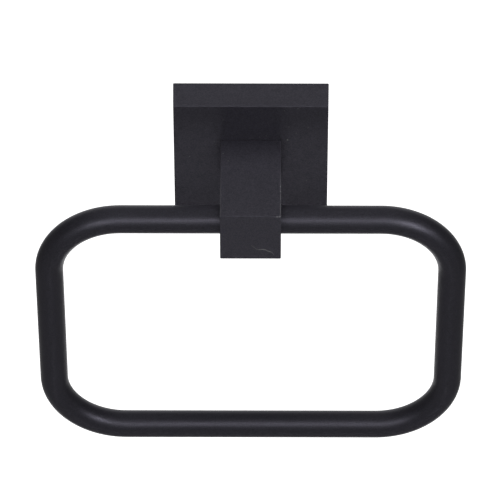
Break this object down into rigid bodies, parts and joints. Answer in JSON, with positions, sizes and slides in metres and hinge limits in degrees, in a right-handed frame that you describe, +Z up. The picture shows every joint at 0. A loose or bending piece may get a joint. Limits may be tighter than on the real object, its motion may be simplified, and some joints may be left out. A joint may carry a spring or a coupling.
{
  "type": "towel ring",
  "caption": "Wall-mounted towel ring: a square cast plate over a hidden bracket, a straight square arm, and a bent rod ring fixed in the arm's tip, all satin black.",
  "frame": {"origin": "centre of the back plate on the wall plane, midway between the wall screw holes", "axes": "+X right along the ring's top bar, -Y out of the wall along the arm, +Z up"},
  "size_m": [0.1414, 0.0456, 0.129],
  "materials": {
    "black_paint": "satin black baked paint on cast zinc and steel rod",
    "plated_steel": "zinc-plated steel",
    "black_steel": "blackened steel"
  },
  "bodies": {
    "root": {"back_plate": "black_paint", "arm": "black_paint", "ring": "black_paint", "wall_bracket": "plated_steel", "arm_screws": "plated_steel", "plate_grub_screw": "black_steel", "ring_grub_screws": "black_steel"}
  },
  "joints": []
}
